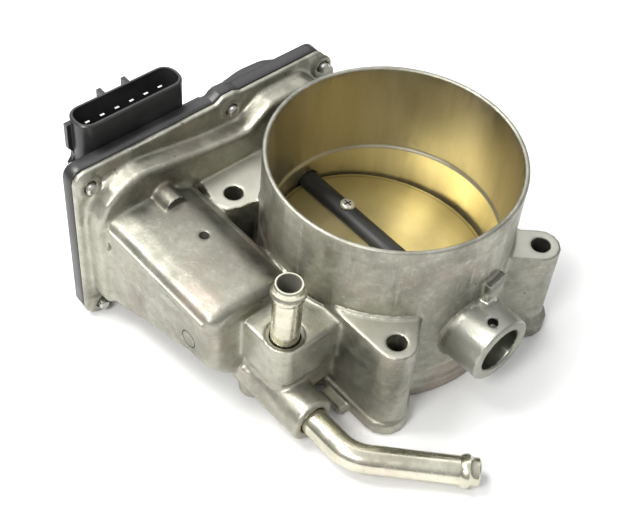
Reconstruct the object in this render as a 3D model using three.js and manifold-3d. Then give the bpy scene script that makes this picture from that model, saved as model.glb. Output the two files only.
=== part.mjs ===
// Electronic throttle body with a single 80 mm bore, millimetres, +Z up.
// The bore axis is vertical and the air filter side is on top.
// The throttle shaft lies along X: the gear case is on -X, the open shaft end on +X.
// The motor lies along X too, on the -Y side of the bore.
import * as THREE from 'three';
import { mergeVertices } from 'three/addons/utils/BufferGeometryUtils.js';
import Module from 'manifold-3d';

const wasm = await Module();
wasm.setup();

// ---------------------------------------------------------------- driving dimensions

// Where the bore axis meets the manifold face, in the frame of the finished part.
const STAND = new THREE.Vector3(0.0, 18.95, 8.2);

const GAP = 0.3; // clearance kept between neighbouring pieces

// bore and inlet
const BORE_R = 40.0;
const INLET_R = 41.6;
const INLET_FOOT_R = 40.8; // the inlet narrows slightly down to the step
const INLET_OUTER_R = 43.3;
const INLET_TOP = 70.8;
const BORE_STEP_Z = 35.7;
const FOOT_RING_R = 46.0;

// manifold bolts
const BOLT_X = 40.8;
const BOLT_Y = 33.6;
const BOLT_HOLE_R = 3.3;
const LUG_R = 7.0;
const LUG_TOP = 40.0;
const FOOT_H = 5.5;
const FOOT_EXTRA = 1.3;
const FAR_FOOT_EXTRA = 2.0;

// throttle shaft and plate
const SHAFT_Z = 25.4;
const SHAFT_R = 4.6;
const PLATE_R = 39.3;
const PLATE_T = 2.2;
const REST_TILT = THREE.MathUtils.degToRad(11);
const PLATE_SCREW_X = 19.5;

// open shaft end
const END_BOSS_R = 12.2;
const END_BOSS_X = 57.7;
const END_BORE_R = 8.3;
const VENT_TILT = 8.8; // degrees, towards the coolant side

// seats of the shaft bearings, and the fixed pin of the intermediate gear
const BEARING_SEAT_R = 7.4;
const END_SEAT_R = 8.1;
const PIN_R = 2.0;

// gear case, all x positions
const SEAM_X = -62.1;
const FLANGE_X = -60.0;
const CASE_X = -52.0;
const FLOOR_X = -54.5;
const SKIRT_X = -67.7;
const COVER_BACK_X = -74.0;
const COVER_WALL = 2.0;
const CASE_WALL = 2.6;

// gear train: module, teeth and the slight rise of the line of centres
const FIRST_MODULE = 0.9;
const SECOND_MODULE = 1.0;
const PINION_TEETH = 12;
const LARGE_TEETH = 48;
const SMALL_TEETH = 12;
const SECTOR_TEETH = 54;
const GEAR_LINE = THREE.MathUtils.degToRad(178.5);
const INTERMEDIATE_DISTANCE = SECOND_MODULE * (SMALL_TEETH + SECTOR_TEETH) / 2;
const PINION_DISTANCE = FIRST_MODULE * (PINION_TEETH + LARGE_TEETH) / 2;
const MOTOR_DISTANCE = INTERMEDIATE_DISTANCE + PINION_DISTANCE;
const MOTOR_Y = MOTOR_DISTANCE * Math.cos(GEAR_LINE);
const MOTOR_Z = SHAFT_Z + MOTOR_DISTANCE * Math.sin(GEAR_LINE);
const INTERMEDIATE_Y = INTERMEDIATE_DISTANCE * Math.cos(GEAR_LINE);
const INTERMEDIATE_Z = SHAFT_Z + INTERMEDIATE_DISTANCE * Math.sin(GEAR_LINE);

// motor and its housing
const MOTOR_R = 15.4;
const MOTOR_CAVITY_R = 15.9;
const MOTOR_CAVITY_END_X = -1.0;
const MOTOR_SCREW_R = 1.4;
const MOTOR_SCREWS = [
  [MOTOR_Y - 13.0, MOTOR_Z + 13.4],
  [MOTOR_Y + 13.0, MOTOR_Z - 13.4],
];
const HOUSING_END_X = 3.0;
const HOUSING_SIDE_Y = -77.5;
const PARTING_Z = 40.9;

// coolant connections
const PIPE_R = 4.8;
const PIPE_BORE_R = 3.8;
const BEAD_R = 5.7;
const PIPE_X = 15.4;
const PIPE_Y = -57.8;
const BLOCK_TOP = 37.5;
const STRAIGHT_PIPE_TOP = 62.3;
const BENT_PIPE_Z = 8.5;
const BENT_BOSS_R = 8.2;
const BENT_BOSS_X = 32.0;
const BEND_CORNER_X = 49.8;
const BEND_R = 15.0;
const BEND_ANGLE = THREE.MathUtils.degToRad(43.5);
const BEND_LEG = 41.5;

// connector shroud on the cover
const SHROUD_X0 = -79.2;
const SHROUD_X1 = -67.8;
const SHROUD_Y0 = -74.0;
const SHROUD_Y1 = -32.3;
const SHROUD_TOP = 71.0;
const SHROUD_CORNER_R = 4.9;
const SHROUD_WALL = 1.1;
const SOCKET_FLOOR = 57.0;
const PIN_PITCH = 5.8;
const PIN_MIDDLE_Y = -53.9;
const PIN_X = -74.0;
const PIN_TOP = 67.4;

// cover screws: radius of the thread, then y and z of each
const COVER_SCREW_R = 2.1;
const COVER_SCREWS = [
  [-78.3, 54.9],
  [-20.1, 57.3],
  [21.8, 55.3],
  [-77.6, -3.9],
  [-43.0, -3.9],
  [22.4, -3.9],
];

// ---------------------------------------------------------------- geometry helpers

function solidOf(geometry) {
  const bare = geometry.clone();
  bare.deleteAttribute('normal');
  bare.deleteAttribute('uv');
  const merged = mergeVertices(bare, 1e-4);
  return new wasm.Manifold(new wasm.Mesh({
    numProp: 3,
    vertProperties: Float32Array.from(merged.attributes.position.array),
    triVerts: Uint32Array.from(merged.index.array),
  }));
}

function geometryOf(solid) {
  const mesh = solid.asOriginal().simplify(0.02).getMesh();
  const geometry = new THREE.BufferGeometry();
  geometry.setAttribute('position', new THREE.BufferAttribute(mesh.vertProperties, 3));
  geometry.setIndex(new THREE.BufferAttribute(mesh.triVerts, 1));
  geometry.computeVertexNormals();
  return geometry;
}

function union(...solids) {
  return solids.reduce((sum, next) => sum.add(next));
}

function cut(body, ...tools) {
  return tools.reduce((rest, tool) => rest.subtract(tool), body);
}

// Outline of points; a point given as [x, y, r] is a corner rounded to radius r.
function outline(points, arcSteps = 4) {
  const shape = new THREE.Shape();
  const count = points.length;
  points.forEach(([x, y, r = 0], i) => {
    const here = new THREE.Vector2(x, y);
    if (r === 0) {
      if (i === 0) shape.moveTo(x, y);
      else shape.lineTo(x, y);
      return;
    }
    const before = new THREE.Vector2(...points[(i + count - 1) % count]).sub(here).normalize();
    const after = new THREE.Vector2(...points[(i + 1) % count]).sub(here).normalize();
    const half = Math.acos(before.dot(after)) / 2;
    const reach = r / Math.tan(half);
    const middle = before.clone().add(after).normalize().multiplyScalar(r / Math.sin(half)).add(here);
    const start = before.clone().multiplyScalar(reach).add(here).sub(middle);
    const end = after.clone().multiplyScalar(reach).add(here).sub(middle);
    let turn = end.angle() - start.angle();
    if (turn > Math.PI) turn -= 2 * Math.PI;
    if (turn < -Math.PI) turn += 2 * Math.PI;
    for (let k = 0; k <= arcSteps; k += 1) {
      const angle = start.angle() + turn * k / arcSteps;
      const px = middle.x + r * Math.cos(angle);
      const py = middle.y + r * Math.sin(angle);
      if (i === 0 && k === 0) shape.moveTo(px, py);
      else shape.lineTo(px, py);
    }
  });
  shape.closePath();
  return shape;
}

function circle(x, y, r, steps = 32) {
  const shape = new THREE.Shape();
  for (let k = 0; k < steps; k += 1) {
    const angle = 2 * Math.PI * k / steps;
    const px = x + r * Math.cos(angle);
    const py = y + r * Math.sin(angle);
    if (k === 0) shape.moveTo(px, py);
    else shape.lineTo(px, py);
  }
  shape.closePath();
  return shape;
}

// Extrusion between two heights; a bevel rounds both ends inside the outline.
function extruded(shape, low, high, bevel = 0, bevelSegments = 2) {
  const geometry = new THREE.ExtrudeGeometry(shape, {
    depth: high - low - 2 * bevel,
    bevelEnabled: bevel > 0,
    bevelThickness: bevel,
    bevelSize: bevel,
    bevelOffset: -bevel,
    bevelSegments,
    curveSegments: 8,
  });
  geometry.translate(0, 0, low + bevel);
  return geometry;
}

// Shape in (x, y) raised along Z.
function raised(shape, z0, z1, bevel = 0, bevelSegments = 2) {
  return solidOf(extruded(shape, z0, z1, bevel, bevelSegments));
}

// Shape in (y, z) run along X.
const ALONG_X = new THREE.Matrix4().makeBasis(
  new THREE.Vector3(0, 1, 0),
  new THREE.Vector3(0, 0, 1),
  new THREE.Vector3(1, 0, 0),
);
function run(shape, x0, x1, bevel = 0, bevelSegments = 2) {
  return solidOf(extruded(shape, x0, x1, bevel, bevelSegments).applyMatrix4(ALONG_X));
}

// Skin over one outline in (y, z), scaled about a centre at each station of [x, scale].
function lofted(shape, [cy, cz], stations) {
  const ring = shape.getPoints(1).slice(0, -1);
  if (THREE.ShapeUtils.isClockWise(ring)) ring.reverse();
  const count = ring.length;
  const positions = [];
  stations.forEach(([x, scale]) => ring.forEach((p) => {
    positions.push(x, cy + (p.x - cy) * scale, cz + (p.y - cz) * scale);
  }));
  const faces = [];
  for (let i = 0; i + 1 < stations.length; i += 1) {
    for (let k = 0; k < count; k += 1) {
      const here = i * count + k;
      const next = i * count + (k + 1) % count;
      faces.push(here, next, next + count);
      faces.push(here, next + count, here + count);
    }
  }
  const last = (stations.length - 1) * count;
  THREE.ShapeUtils.triangulateShape(ring, []).forEach(([i, j, k]) => {
    faces.push(i, k, j);
    faces.push(last + i, last + j, last + k);
  });
  const geometry = new THREE.BufferGeometry();
  geometry.setAttribute('position', new THREE.Float32BufferAttribute(positions, 3));
  geometry.setIndex(faces);
  return geometry;
}

// Profile of [radius, height] points turned about the vertical axis.
function turnedUp(points, steps = 32) {
  const profile = points.map(([r, h]) => new THREE.Vector2(r, h));
  const geometry = new THREE.LatheGeometry(profile, steps);
  geometry.rotateX(Math.PI / 2);
  return geometry;
}

// Profile of [radius, x] points turned about a line along X.
function turnedX(points, y, z, steps = 32) {
  const profile = points.map(([r, h]) => new THREE.Vector2(r, h));
  const geometry = new THREE.LatheGeometry(profile, steps);
  geometry.rotateZ(-Math.PI / 2);
  geometry.translate(0, y, z);
  return geometry;
}

function rodX(r, x0, x1, y, z, steps = 32) {
  return solidOf(turnedX([[0, x0], [r, x0], [r, x1], [0, x1]], y, z, steps));
}

function postZ(r, z0, z1, x, y, steps = 24) {
  return solidOf(turnedUp([[0, z0], [r, z0], [r, z1], [0, z1]], steps).translate(x, y, 0));
}

function block(x0, x1, y0, y1, z0, z1) {
  const geometry = new THREE.BoxGeometry(x1 - x0, y1 - y0, z1 - z0);
  return solidOf(geometry.translate((x0 + x1) / 2, (y0 + y1) / 2, (z0 + z1) / 2));
}

// Ring of rectangular section about a line along X.
function ringX(inner, outer, x0, x1, y, z, steps = 32) {
  return turnedX([[inner, x0], [outer, x0], [outer, x1], [inner, x1], [inner, x0]], y, z, steps);
}

// ---------------------------------------------------------------- materials

function material(colour, roughness, metalness) {
  return new THREE.MeshStandardMaterial({ color: colour, roughness, metalness });
}

const castAluminium = () => material(0xa9a89c, 0.42, 0.9);
const goldPlate = () => material(0xb7a468, 0.35, 0.85);
const darkSteel = () => material(0x2b2c2d, 0.4, 0.8);
const brightSteel = () => material(0xb9bbb8, 0.28, 1.0);
const zincSteel = () => material(0xb9b48f, 0.3, 0.95);
const blackPlastic = () => material(0x1c1c1e, 0.55, 0.0);
const gearPlastic = () => material(0xd8d2bd, 0.5, 0.0);
const darkRubber = () => material(0x151515, 0.8, 0.0);
const magnetFerrite = () => material(0x3a3a3c, 0.6, 0.3);
const copperWound = () => material(0x9a5a34, 0.45, 0.8);
const tinned = () => material(0xc9c8c0, 0.3, 1.0);

const model = new THREE.Group();
model.name = 'throttle_body';
model.position.copy(STAND);

function add(name, geometry, paint, parent = model) {
  const mesh = new THREE.Mesh(geometry, paint);
  mesh.name = name;
  parent.add(mesh);
  return mesh;
}

// ---------------------------------------------------------------- outlines of the gear case

// Mounting rim shared by the case and its cover, in (y, z), drawn in by a margin.
function rimOutline(inset = 0) {
  return outline([
    [-83.8 + inset, 61.3 - inset, 4.5],
    [-83.8 + inset, -8.2 + inset, 4.5],
    [28.9 - inset, -8.2 + inset, 5],
    [28.9 - inset, 50 - inset, 4],
    [21.5 - inset, 62 - inset, 5],
    [-15 + inset, 62 - inset, 1],
    [-18 - inset, 63.3 - inset, 1.5],
    [-23 + inset, 63.3 - inset, 1.5],
    [-26 + inset, 61.3 - inset, 1],
  ], 3);
}

// Body of the gear case, in (y, z): a lobe over the motor and one over the shaft.
function caseOutline(inset = 0) {
  const w = inset;
  return outline([
    [-80.9 + w, 53.6 - w, 16],
    [-80.0 + w, 1.0 + w, 6],
    [-30.0, 0.2 + w, 4],
    [-14.0, -6.2 + w, 9],
    [12.0 - w * 0.5, -6.2 + w, 7],
    [24.5 - w, 9.0 + w * 0.5, 5],
    [24.5 - w, 42.5 - w * 0.5, 5],
    [11.5 - w * 0.5, 58.4 - w, 7],
    [-8.0 + w * 0.2, 58.4 - w, 5],
    [-18.5 + w * 0.2, 50.8 - w, 5],
    [-36.0, 52.6 - w, 20],
    [-62.0, 57.2 - w, 12],
  ]);
}

// ---------------------------------------------------------------- throttle housing

function barrel() {
  return solidOf(turnedUp([
    [0, 0],
    [FOOT_RING_R - 0.4, 0],
    [FOOT_RING_R, 0.4],
    [FOOT_RING_R, 5.2],
    [FOOT_RING_R - 0.5, 5.7],
    [FOOT_RING_R - 1.4, 6.6],
    [FOOT_RING_R - 2.0, 8.4],
    [INLET_OUTER_R + 0.3, 10.8],
    [INLET_OUTER_R, 13.5],
    [INLET_OUTER_R, INLET_TOP - 0.5],
    [INLET_OUTER_R - 0.4, INLET_TOP],
    [0, INLET_TOP],
  ], 64));
}

// A lug on the motor side, with a long web lying along the bore wall.
function nearLugOutline(extra = 0) {
  const r = LUG_R + extra;
  const slope = THREE.MathUtils.degToRad(42.5);
  const points = [[4, -BOLT_Y - r]];
  for (let k = 0; k <= 6; k += 1) {
    const angle = -Math.PI / 2 + (Math.PI / 2 + slope) * k / 6;
    points.push([BOLT_X + r * Math.cos(angle), -BOLT_Y + r * Math.sin(angle)]);
  }
  points.push([38.0 + extra, -20.2], [20, -20]);
  return outline(points);
}

// A lug on the far side, a rounded ear.
function farLugOutline(extra = 0) {
  const r = LUG_R + extra;
  const slope = THREE.MathUtils.degToRad(42.5);
  const points = [[20, 20], [38.0 + extra, 20.2]];
  for (let k = 0; k <= 7; k += 1) {
    const angle = -slope + (Math.PI * 0.8 + slope) * k / 7;
    points.push([BOLT_X + r * Math.cos(angle), BOLT_Y + r * Math.sin(angle)]);
  }
  points.push([31.5, 33.5 + extra], [26, 32]);
  return outline(points);
}

// The lug beside the gear case, joined to the case wall.
function caseLugOutline() {
  return outline([
    [CASE_X - 1, -38.9],
    [-40.5, -42.0, 3],
    [-35.6, -40.2, 2],
    [-33.6, -31.5],
    [-30, -20],
    [CASE_X - 1, -10],
  ]);
}

function lugs() {
  const farCaseLug = raised(farLugOutline(), 0, LUG_TOP).mirror([1, 0, 0]);
  const farCaseFoot = raised(farLugOutline(FAR_FOOT_EXTRA), 0, FOOT_H, 0.5, 1).mirror([1, 0, 0]);
  return union(
    raised(nearLugOutline(), 0, LUG_TOP, 0.5, 1),
    raised(nearLugOutline(FOOT_EXTRA), 0, FOOT_H, 0.5, 1),
    raised(farLugOutline(), 0, LUG_TOP, 0.5, 1),
    raised(farLugOutline(FAR_FOOT_EXTRA), 0, FOOT_H, 0.5, 1),
    farCaseLug,
    farCaseFoot,
    raised(caseLugOutline(), 0, LUG_TOP),
    postZ(LUG_R, 0, LUG_TOP, -BOLT_X, -BOLT_Y, 32),
  );
}

function shaftEndBoss() {
  const body = turnedX([
    [0, 30],
    [END_BOSS_R + 0.6, 30],
    [END_BOSS_R + 0.3, 46],
    [END_BOSS_R, END_BOSS_X - 0.7],
    [END_BOSS_R - 0.7, END_BOSS_X],
    [0, END_BOSS_X],
  ], 0, SHAFT_Z, 40);
  const pad = block(38, 46.3, -4.3, 4.3, 36, 45.6).rotate([0, 0, 7.7]);
  return union(solidOf(body), pad);
}

// Motor housing: one section run along X, its far end rounded over.
function motorHousing() {
  const section = outline([
    [HOUSING_SIDE_Y, 20, 4],
    [HOUSING_SIDE_Y, PARTING_Z + 3.0, 3],
    [-70, 45.2, 14],
    [-52, 45.2, 12],
    [-42.5, 40.5, 4],
    [-38, 30],
    [-38, 14],
    [-50, 8.5, 6],
    [-68, 8.5, 8],
  ]);
  const endR = 4.0;
  const stations = [[CASE_X - 4, 1]];
  for (let k = 0; k <= 4; k += 1) {
    const angle = Math.PI / 2 * k / 4;
    const inset = endR * (1 - Math.cos(angle));
    stations.push([HOUSING_END_X - endR * (1 - Math.sin(angle)), 1 - inset / 19]);
  }
  const shell = solidOf(lofted(section, [-58, 27], stations));
  const skirtSide = outline([
    [CASE_X - 2, 2.5],
    [HOUSING_END_X - 3.5, 21.5],
    [HOUSING_END_X - 3.5, 30],
    [CASE_X - 2, 30],
  ]);
  const skirtGeometry = extruded(skirtSide, 0, 14, 1.5, 1);
  skirtGeometry.rotateX(Math.PI / 2);
  skirtGeometry.translate(0, HOUSING_SIDE_Y + 14, 0);
  const parting = block(CASE_X - 1, -0.5, HOUSING_SIDE_Y - 0.9, -70, PARTING_Z - 0.8, PARTING_Z + 0.9);
  const bump = rodX(4.3, CASE_X - 1, -43.6, -55.6, 44.4, 24);
  const screwBosses = MOTOR_SCREWS.map(([y, z]) => rodX(4.0, CASE_X - 1, -45, y, z, 20));
  return union(shell, solidOf(skirtGeometry), parting, bump, ...screwBosses);
}

function pipeBlock() {
  const upper = outline([
    [HOUSING_END_X - 2, -41],
    [HOUSING_END_X - 2, PIPE_Y - 7.4],
    [PIPE_X + 7.4, PIPE_Y - 7.4, 7.3],
    [PIPE_X + 7.4, -38],
  ], 6);
  const lower = outline([
    [HOUSING_END_X - 2, -41],
    [HOUSING_END_X - 2, PIPE_Y - 5.6],
    [PIPE_X + 6.0, PIPE_Y - 5.6, 5.5],
    [PIPE_X + 6.0, -38],
  ], 4);
  const boss = solidOf(turnedX([
    [0, -6],
    [BENT_BOSS_R, -6],
    [BENT_BOSS_R, BENT_BOSS_X - 0.4],
    [BENT_BOSS_R - 0.4, BENT_BOSS_X],
    [0, BENT_BOSS_X],
  ], PIPE_Y, BENT_PIPE_Z, 32));
  const parting = block(1, BENT_BOSS_X - 0.6, PIPE_Y - BENT_BOSS_R - 0.7, PIPE_Y, BENT_PIPE_Z - 0.6, BENT_PIPE_Z + 0.6);
  const tie = block(-4, 20, PIPE_Y, -38, 4, 11);
  const tab = block(22, 32, -45.4, -40, 0.2, 3.8);
  const foot = postZ(5.0, 0.4, 14, 4.8, PIPE_Y - 2.8, 20);
  return union(raised(upper, 20, BLOCK_TOP, 0.4, 1), raised(lower, BENT_PIPE_Z, 21), boss, foot, parting, tie, tab);
}

function gearCase() {
  const rim = run(rimOutline(), SEAM_X, FLANGE_X, 0.4, 1);
  const walls = run(caseOutline(), SEAM_X + 1, CASE_X, 1.6, 2);
  const bearingBoss = rodX(13.5, CASE_X - 1, -38, 0, SHAFT_Z, 36);
  const web = block(CASE_X - 1, -34, -31, 31, 6, LUG_TOP - 2);
  const ears = COVER_SCREWS.map(([y, z]) => rodX(4.2, FLANGE_X - 1, FLANGE_X + 0.8, y, z, 20));
  return union(rim, walls, bearingBoss, web, ...ears);
}

function boreCut() {
  return solidOf(turnedUp([
    [0, -2],
    [BORE_R + 0.4, -2],
    [BORE_R + 0.4, 0],
    [BORE_R, 0.4],
    [BORE_R, BORE_STEP_Z - 0.9],
    [INLET_FOOT_R, BORE_STEP_Z],
    [INLET_R, INLET_TOP - 0.5],
    [INLET_R + 0.5, INLET_TOP],
    [INLET_R + 0.5, INLET_TOP + 2],
    [0, INLET_TOP + 2],
  ], 64));
}

function boltCuts() {
  const places = [[1, 1], [1, -1], [-1, 1], [-1, -1]];
  return places.map(([sx, sy]) => postZ(BOLT_HOLE_R, -2, LUG_TOP + 2, sx * BOLT_X, sy * BOLT_Y));
}

function shaftCuts() {
  const gearSide = solidOf(turnedX([
    [0, FLOOR_X - 1],
    [BEARING_SEAT_R, FLOOR_X - 1],
    [BEARING_SEAT_R, -43],
    [SHAFT_R + GAP, -43],
    [SHAFT_R + GAP, -38],
    [0, -38],
  ], 0, SHAFT_Z, 28));
  const endSide = solidOf(turnedX([
    [0, 38],
    [SHAFT_R + GAP, 38],
    [SHAFT_R + GAP, 43.4],
    [END_SEAT_R, 43.4],
    [END_SEAT_R, 48.6],
    [END_BORE_R, 48.6],
    [END_BORE_R, END_BOSS_X - 0.8],
    [END_BORE_R + 0.8, END_BOSS_X],
    [END_BORE_R + 0.8, END_BOSS_X + 2],
    [0, END_BOSS_X + 2],
  ], 0, SHAFT_Z, 36));
  const vent = postZ(1.65, 0, END_BOSS_R + 3, 52.8, 0, 16).rotate([VENT_TILT, 0, 0]).translate([0, 0, SHAFT_Z]);
  return [gearSide, endSide, vent];
}

function caseCuts() {
  const gears = run(caseOutline(CASE_WALL), SEAM_X - 2, FLOOR_X);
  const motor = rodX(MOTOR_CAVITY_R, FLOOR_X - 1, MOTOR_CAVITY_END_X, MOTOR_Y, MOTOR_Z, 40);
  const pin = rodX(PIN_R + GAP, FLOOR_X - 1, -48, INTERMEDIATE_Y, INTERMEDIATE_Z, 16);
  const motorScrews = MOTOR_SCREWS.map(([y, z]) => rodX(MOTOR_SCREW_R + GAP, FLOOR_X - 1, -47, y, z, 12));
  const coverScrews = COVER_SCREWS.map(([y, z]) => rodX(COVER_SCREW_R + GAP, SEAM_X - 1, FLANGE_X + 2, y, z, 12));
  return [gears, motor, pin, ...motorScrews, ...coverScrews];
}

function coolantCuts() {
  return [
    postZ(PIPE_R + GAP, BLOCK_TOP - 9, BLOCK_TOP + 1, PIPE_X, PIPE_Y),
    postZ(PIPE_R + 2.0, BLOCK_TOP - 0.7, BLOCK_TOP + 1, PIPE_X, PIPE_Y),
    postZ(PIPE_BORE_R, BENT_PIPE_Z, BLOCK_TOP, PIPE_X, PIPE_Y),
    rodX(PIPE_BORE_R, PIPE_X - 2, BENT_BOSS_X, PIPE_Y, BENT_PIPE_Z, 24),
    rodX(PIPE_R + GAP, BENT_BOSS_X - 7, BENT_BOSS_X + 1, PIPE_Y, BENT_PIPE_Z, 24),
  ];
}

// Shallow marks of the casting tool: a dimple on top and a ring on the side of the motor housing.
function castingMarks() {
  const dimple = postZ(1.6, 43.8, 50, -27.8, -56.4, 16);
  const ring = cut(rodX(3.4, -0.3, 5, 0, 0, 20), rodX(3.0, -1, 6, 0, 0, 20));
  return [dimple, ring.rotate([0, 0, -90]).translate([-8.6, HOUSING_SIDE_Y, MOTOR_Z - 0.7])];
}

add('throttle_housing', geometryOf(cut(
  union(barrel(), lugs(), shaftEndBoss(), motorHousing(), pipeBlock(), gearCase()),
  boreCut(),
  ...boltCuts(),
  ...shaftCuts(),
  ...caseCuts(),
  ...coolantCuts(),
  ...castingMarks(),
)), castAluminium());

// ---------------------------------------------------------------- throttle shaft and plate

// Everything clamped to the plate is drawn about the shaft axis with the plate level.
const tilted = new THREE.Group();
tilted.name = 'tilted_pieces';
tilted.position.set(0, 0, SHAFT_Z);
tilted.rotation.x = -REST_TILT;
model.add(tilted);

const SHAFT_GEAR_END = -68.3;
const SHAFT_FAR_END = 48.0;

function throttleShaft() {
  const bar = solidOf(turnedX([
    [0, SHAFT_GEAR_END],
    [SHAFT_R - 0.4, SHAFT_GEAR_END],
    [SHAFT_R, SHAFT_GEAR_END + 0.4],
    [SHAFT_R, SHAFT_FAR_END - 0.4],
    [SHAFT_R - 0.4, SHAFT_FAR_END],
    [0, SHAFT_FAR_END],
  ], 0, 0, 28));
  const slotHalf = PLATE_T / 2 + GAP;
  const slotEnd = PLATE_R + 0.35;
  const slot = block(-slotEnd, slotEnd, -6, 6, -slotHalf, slotHalf);
  const screwCuts = [-1, 1].flatMap((side) => [
    postZ(1.5 + GAP, -6, 6, side * PLATE_SCREW_X, 0, 12),
    postZ(3.1, 4.0, 6, side * PLATE_SCREW_X, 0, 20),
  ]);
  return geometryOf(cut(bar, slot, ...screwCuts));
}

function throttlePlate() {
  const disc = solidOf(turnedUp([
    [0, -PLATE_T / 2],
    [PLATE_R - 0.5, -PLATE_T / 2],
    [PLATE_R, -PLATE_T / 2 + 0.5],
    [PLATE_R, PLATE_T / 2 - 0.5],
    [PLATE_R - 0.5, PLATE_T / 2],
    [0, PLATE_T / 2],
  ], 64));
  const holes = [-1, 1].map((side) => postZ(1.5 + GAP, -3, 3, side * PLATE_SCREW_X, 0, 12));
  return geometryOf(cut(disc, ...holes));
}

function plateScrew() {
  const body = solidOf(turnedUp([
    [0, -5.0],
    [1.2, -5.0],
    [1.5, -4.7],
    [1.5, 4.3],
    [2.8, 4.3],
    [2.8, 4.8],
    [2.4, 5.4],
    [1.4, 5.9],
    [0, 6.0],
  ], 20));
  const recess = union(
    block(-1.6, 1.6, -0.3, 0.3, 5.0, 7),
    block(-0.3, 0.3, -1.6, 1.6, 5.0, 7),
  );
  return geometryOf(cut(body, recess));
}

add('throttle_shaft', throttleShaft(), darkSteel(), tilted);
add('throttle_plate', throttlePlate(), goldPlate(), tilted);
[-1, 1].forEach((side, i) => {
  const screw = add(`plate_screw_${i + 1}`, plateScrew(), brightSteel(), tilted);
  screw.position.x = side * PLATE_SCREW_X;
});

add('gear_side_bearing', ringX(SHAFT_R + GAP, BEARING_SEAT_R - GAP, -54.2, -46.4, 0, SHAFT_Z, 28), brightSteel());
add('gear_side_seal', ringX(SHAFT_R + GAP, BEARING_SEAT_R - GAP, -46.0, -43.4, 0, SHAFT_Z, 28), darkRubber());
add('end_side_bearing', ringX(SHAFT_R + GAP, END_SEAT_R - GAP, 43.7, 48.2, 0, SHAFT_Z, 28), brightSteel());
add('end_plug', turnedX([
  [0, 48.9],
  [END_BORE_R - GAP, 48.9],
  [END_BORE_R - GAP, 51.4],
  [END_BORE_R - GAP - 0.8, 51.4],
  [END_BORE_R - GAP - 0.8, 49.7],
  [0, 49.7],
], 0, SHAFT_Z, 28), brightSteel());

// ---------------------------------------------------------------- gears

// Straight-sided teeth about the origin, in (y, z); the angles name the middle of the first tooth.
function toothPoints(teeth, module, firstAngle, count) {
  const pitch = 2 * Math.PI / teeth;
  const r = module * teeth / 2;
  const root = r - 1.2 * module;
  const tip = r + 0.85 * module;
  const points = [];
  for (let k = 0; k < count; k += 1) {
    const middle = firstAngle + k * pitch;
    [[root, -0.29], [tip, -0.1], [tip, 0.1], [root, 0.29]].forEach(([radius, part]) => {
      const angle = middle + part * pitch;
      points.push([radius * Math.cos(angle), radius * Math.sin(angle)]);
    });
  }
  return points;
}

const TOWARDS_SHAFT = GEAR_LINE + Math.PI;

function sectorGear() {
  const pitch = 2 * Math.PI / SECTOR_TEETH;
  const teeth = toothPoints(SECTOR_TEETH, SECOND_MODULE, GEAR_LINE - 2.5 * pitch, 17);
  const web = run(outline([[0, 0], ...teeth]), -67.0, -62.8);
  const hub = rodX(7.0, -68.6, -56.6, 0, 0, 28);
  const bore = rodX(SHAFT_R + GAP, -70, -55, 0, 0, 24);
  const lightening = rodX(4.2, -68, -64.5, -15 * Math.SQRT1_2, -15 * Math.SQRT1_2, 20);
  return geometryOf(cut(union(web, hub), bore, lightening).translate([0, 0, SHAFT_Z]));
}

function intermediateGear() {
  const pitch = 2 * Math.PI / LARGE_TEETH;
  const large = toothPoints(LARGE_TEETH, FIRST_MODULE, GEAR_LINE + pitch / 2, LARGE_TEETH);
  const small = toothPoints(SMALL_TEETH, SECOND_MODULE, TOWARDS_SHAFT, SMALL_TEETH);
  const both = union(run(outline(large), -62.0, -58.0), run(outline(small), -67.5, -61.9));
  const dish = cut(rodX(17.5, -60.6, -57, 0, 0, 32), rodX(7, -62, -56, 0, 0, 24));
  const bore = rodX(PIN_R + GAP, -70, -55, 0, 0, 16);
  return geometryOf(cut(both, dish, bore).translate([0, INTERMEDIATE_Y, INTERMEDIATE_Z]));
}

function motorPinion() {
  const teeth = toothPoints(PINION_TEETH, FIRST_MODULE, TOWARDS_SHAFT, PINION_TEETH);
  const bore = rodX(MOTOR_SHAFT_R + GAP, -70, -55, 0, 0, 16);
  return geometryOf(cut(run(outline(teeth), -62.4, -57.2), bore).translate([0, MOTOR_Y, MOTOR_Z]));
}

const MOTOR_SHAFT_R = 1.6;
add('sector_gear', sectorGear(), gearPlastic());
add('sensor_magnet', ringX(3.9, 6.4, -71.1, -68.9, 0, SHAFT_Z, 24), magnetFerrite());
add('intermediate_gear', intermediateGear(), gearPlastic());
add('intermediate_pin', turnedX([
  [0, -70.5],
  [PIN_R - 0.3, -70.5],
  [PIN_R, -70.2],
  [PIN_R, -48.3],
  [0, -48.3],
], INTERMEDIATE_Y, INTERMEDIATE_Z, 16), brightSteel());
add('motor_pinion', motorPinion(), brightSteel());

// ---------------------------------------------------------------- return spring

class SpringCurve extends THREE.Curve {
  constructor(radius, x0, x1, turns) {
    super();
    Object.assign(this, { radius, x0, x1, turns });
  }

  getPoint(t) {
    const angle = 2 * Math.PI * this.turns * t;
    return new THREE.Vector3(
      this.x0 + (this.x1 - this.x0) * t,
      this.radius * Math.cos(angle),
      SHAFT_Z + this.radius * Math.sin(angle),
    );
  }
}

const springGeometry = new THREE.ExtrudeGeometry(circle(0, 0, 0.65, 5), {
  steps: 44,
  extrudePath: new SpringCurve(8.5, -61.3, -55.9, 3.25),
  bevelEnabled: false,
});
add('return_spring', springGeometry, brightSteel());

// ---------------------------------------------------------------- motor

add('motor_can', turnedX([
  [0, -3.0],
  [14.3, -3.0],
  [14.3, -54.2],
  [MOTOR_R, -54.2],
  [MOTOR_R, -3.2],
  [MOTOR_R - 1.4, -1.6],
  [0, -1.6],
], MOTOR_Y, MOTOR_Z, 36), zincSteel());

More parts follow.
